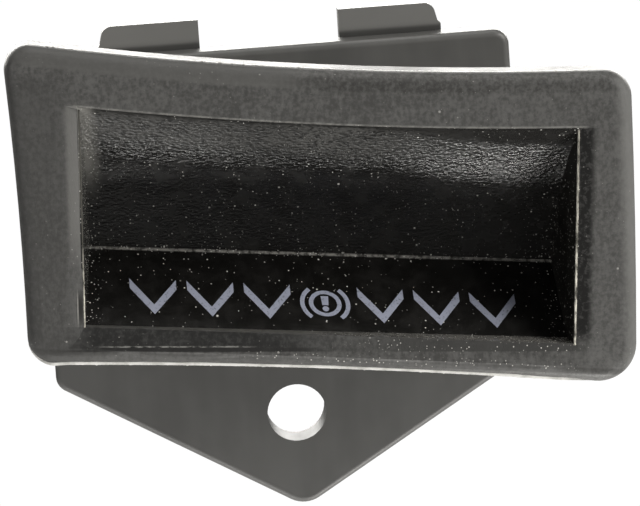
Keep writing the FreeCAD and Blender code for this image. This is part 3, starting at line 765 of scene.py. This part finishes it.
def ragged(smallest, spread):
    """A reach of flash that now and then has a nib."""
    reach = smallest + spread * random.random()
    if random.random() < NIB_CHANCE:
        reach += 3 * spread * random.random()
    return reach


def section_row(bm, place, outward, section):
    """Points of a flat section at a place: each lies some way along Y and some way outward."""
    return [bm.verts.new((place + Vector((0, y, 0)) + outward * reach) * MM) for y, reach in section]


def edge_parts():
    """The steps along a bezel edge, as parts of its half width."""
    return [-FLASH_SPAN + 2 * FLASH_SPAN * i / FLASH_STEPS for i in range(FLASH_STEPS + 1)]


def lower_edge_line():
    """Place, outward direction and strength of the lip, from the left corner to the right."""
    line = []
    for i in range(CORNER_STEPS):
        turn = math.radians(CORNER_START_DEG + CORNER_TURN_DEG * i / CORNER_STEPS)
        outward = Vector((math.cos(turn), 0, math.sin(turn)))
        place = CORNER_CENTRE + outward * CORNER_RADIUS + Vector((0, FACE_Y + CROWN_DEPTH, 0))
        line.append((place, outward, LIP_START + (1 - LIP_START) * i / CORNER_STEPS))
    for part in edge_parts():
        strength = min(1.0, (FLASH_SPAN - part) / LIP_TAPER + LIP_END)
        line.append((bezel_edge_point(part, False), Vector((0, 0, -1)), strength))
    return line


def bottom_flash(material):
    """The lip along the bezel's lower edge and round its left corner, thinner at both ends, bright with its
    material's painted highlight.
    """
    bm = bmesh.new()
    rows = []
    for place, outward, strength in lower_edge_line():
        fall = ragged(smallest=0.02, spread=0.03) * strength
        front = LIP_DEPTH * strength
        rise = LIP_RISE * strength
        section = [(0.0, -LIP_ROOT), (0.0, fall), (-front - LIP_ROOT, fall), (-front, -rise),
                   (-LIP_CROWN_REACH * front, -rise - LIP_CROWN_RISE)]
        rows.append(section_row(bm, place, outward, section))
    close_rows(bm, rows)
    mesh_piece("bottom_flash", bm, "handle", material)


def top_flash(material):
    """The thin ragged line of flash along the bezel's upper edge."""
    bm = bmesh.new()
    rows = []
    for part in edge_parts():
        tip = ragged(smallest=0.04, spread=0.05)
        section = [(-TOP_FLASH_HALF_FOOT, -TOP_FLASH_ROOT), (-TOP_FLASH_HALF_TIP, tip),
                   (TOP_FLASH_HALF_TIP, tip), (TOP_FLASH_HALF_FOOT, -TOP_FLASH_ROOT)]
        rows.append(section_row(bm, bezel_edge_point(part, True), Vector((0, 0, 1)), section))
    close_rows(bm, rows)
    mesh_piece("top_flash", bm, "handle", material)


def edge_bead(name, side, radius, material):
    """The rounded edge between the rim and a side wall of the recess: side 1 is the right one."""
    bm = bmesh.new()
    turns = [2 * math.pi * k / BEAD_SIDES for k in range(BEAD_SIDES)]
    spokes = [Vector((math.cos(t), math.sin(t), 0)) for t in turns]
    rows = []
    for i in range(BEAD_STEPS + 1):
        level = LEDGE_FRONT_Z + (RECESS_TOP_Z - LEDGE_FRONT_Z) * i / BEAD_STEPS
        z = level - side * RECESS_HALF_WIDTH * SLOPE
        x = RECESS_CENTRE_X + side * RECESS_HALF_WIDTH + RECESS_LEAN * (z - RECESS_MIDDLE_Z)
        place = Vector((x, FACE_Y + RIM_DIP, z))
        thick = radius * (BEAD_THINNEST + BEAD_SPREAD * random.random())
        rows.append([bm.verts.new((place + spoke * thick) * MM) for spoke in spokes])
    close_rows(bm, rows)
    mesh_piece(name, bm, "handle", material)


def look_matrix(heading_deg, tilt_deg, roll_deg):
    """The camera's turn: heading to the right of +Y, tilt down, and roll to the right."""
    heading, tilt, roll = (math.radians(v) for v in (heading_deg, tilt_deg, roll_deg))
    level = math.cos(tilt)
    ahead = Vector((math.sin(heading) * level, math.cos(heading) * level, -math.sin(tilt)))
    right = Vector((math.cos(heading), -math.sin(heading), 0))
    up = right.cross(ahead)
    turned_right = right * math.cos(roll) - up * math.sin(roll)
    turned_up = right * math.sin(roll) + up * math.cos(roll)
    return Matrix((turned_right, turned_up, -ahead)).transposed().to_4x4()


def add_camera():
    """The photograph's camera."""
    data = bpy.data.cameras.new("camera")
    data.lens = CAMERA_LENS
    data.sensor_width = CAMERA_SENSOR
    data.sensor_fit = "HORIZONTAL"
    data.clip_start = CAMERA_NEAR
    camera = bpy.data.objects.new("camera", data)
    bpy.context.scene.collection.objects.link(camera)
    turn = look_matrix(CAMERA_HEADING_DEG, CAMERA_TILT_DEG, CAMERA_ROLL_DEG)
    camera.matrix_world = Matrix.Translation(CAMERA_PLACE) @ turn
    bpy.context.scene.camera = camera


def add_lamp(name, place, aim, size, watts):
    """A soft lamp that the camera doesn't see."""
    data = bpy.data.lights.new(name, "AREA")
    data.shape = "RECTANGLE"
    data.size, data.size_y = size
    data.energy = watts
    data.color = LAMP_TINT
    lamp = bpy.data.objects.new(name, data)
    bpy.context.scene.collection.objects.link(lamp)
    lamp.location = place
    lamp.rotation_euler = (Vector(aim) - Vector(place)).to_track_quat("-Z", "Y").to_euler()
    lamp.visible_camera = False


def add_lamps():
    """Light from the right, the left and above, two small lamps under the bezel, and a long one behind."""
    middle = (0.005, -0.01, 0.025)
    add_lamp("key_right", (0.46, -0.30, 0.36), middle, (0.30, 0.34), 3.6)
    add_lamp("fill_left", (-0.50, -0.40, 0.16), middle, (0.34, 0.40), 1.0)
    add_lamp("top", (0.05, 0.02, 0.58), middle, (0.5, 0.3), 2.2)
    add_lamp("low_left", (-0.08, -0.120, -0.210), middle, (0.06, 0.06), 0.22)
    add_lamp("low_right", (0.09, -0.120, -0.205), middle, (0.06, 0.06), 0.46)
    add_lamp("behind", (0.0, 0.55, 0.19), middle, (1.2, 0.26), 11.0)


def add_world():
    """White to the camera, and a faint light on the object."""
    world = bpy.data.worlds.new("studio")
    bpy.context.scene.world = world
    world.use_nodes = True
    tree = world.node_tree
    tree.nodes.clear()
    out = tree.nodes.new("ShaderNodeOutputWorld")
    seen = tree.nodes.new("ShaderNodeBackground")
    seen.inputs["Color"].default_value = (1, 1, 1, 1)
    seen.inputs["Strength"].default_value = 1.0
    dim = tree.nodes.new("ShaderNodeBackground")
    dim.inputs["Color"].default_value = (1, 1, 1, 1)
    dim.inputs["Strength"].default_value = WORLD_LIGHT
    rays = tree.nodes.new("ShaderNodeLightPath")
    mix = tree.nodes.new("ShaderNodeMixShader")
    tree.links.new(rays.outputs["Is Camera Ray"], mix.inputs[0])
    tree.links.new(dim.outputs[0], mix.inputs[1])
    tree.links.new(seen.outputs[0], mix.inputs[2])
    tree.links.new(mix.outputs[0], out.inputs["Surface"])


def add_floor():
    """A pale floor that reads as white and keeps the object's shadow near it."""
    bm = bmesh.new()
    bmesh.ops.create_grid(bm, x_segments=1, y_segments=1, size=FLOOR_SIZE / 2)
    mesh = bpy.data.meshes.new("floor")
    bm.to_mesh(mesh)
    bm.free()
    floor = bpy.data.objects.new("floor", mesh)
    floor.location = (0, 0, FLOOR_Z)
    bpy.context.scene.collection.objects.link(floor)
    material = bpy.data.materials.new("floor_pale")
    material.use_nodes = True
    tree = material.node_tree
    tree.nodes.clear()
    out = tree.nodes.new("ShaderNodeOutputMaterial")
    matte = tree.nodes.new("ShaderNodeBsdfDiffuse")
    matte.inputs["Color"].default_value = (FLOOR_TONE, FLOOR_TONE, FLOOR_TONE, 1)
    white = tree.nodes.new("ShaderNodeEmission")
    white.inputs["Strength"].default_value = FLOOR_WHITE
    rays = tree.nodes.new("ShaderNodeLightPath")
    place = tree.nodes.new("ShaderNodeTexCoord")
    length = tree.nodes.new("ShaderNodeVectorMath")
    length.operation = "LENGTH"
    reach = tree.nodes.new("ShaderNodeMapRange")
    reach.inputs["From Min"].default_value = SHADOW_REACH * SHADOW_HEART
    reach.inputs["From Max"].default_value = SHADOW_REACH
    reach.inputs["To Min"].default_value = FLOOR_WHITE_SHARE_NEAR
    reach.inputs["To Max"].default_value = 1.0
    share = tree.nodes.new("ShaderNodeMath")
    share.operation = "MULTIPLY"
    mix = tree.nodes.new("ShaderNodeMixShader")
    tree.links.new(place.outputs["Object"], length.inputs[0])
    tree.links.new(length.outputs["Value"], reach.inputs["Value"])
    tree.links.new(reach.outputs[0], share.inputs[0])
    tree.links.new(rays.outputs["Is Camera Ray"], share.inputs[1])
    tree.links.new(share.outputs[0], mix.inputs[0])
    tree.links.new(matte.outputs[0], mix.inputs[1])
    tree.links.new(white.outputs[0], mix.inputs[2])
    tree.links.new(mix.outputs[0], out.inputs["Surface"])
    mesh.materials.append(material)


add_camera()
add_world()
add_lamps()
add_floor()
dress("pull_handle", handle_material())
dress("mounting_bracket", bracket_material())
generic_print(print_material())
# The flash takes a near-white colour that is a painted highlight
flash = flash_material()
bottom_flash(flash)
top_flash(flash)
# Painted highlights along both edges of the recess
right_edge = bead_material("rubbed_right_edge_painted_highlight", low=18.0, high=36.0, faint=0.7)
left_edge = bead_material("rubbed_left_edge_painted_highlight", low=24.0, high=32.0, faint=0.12)
edge_bead("right_edge_bead", 1, RIGHT_BEAD_RADIUS, right_edge)
edge_bead("left_edge_bead", -1, LEFT_BEAD_RADIUS, left_edge)
bpy.context.scene.view_settings.view_transform = "Standard"
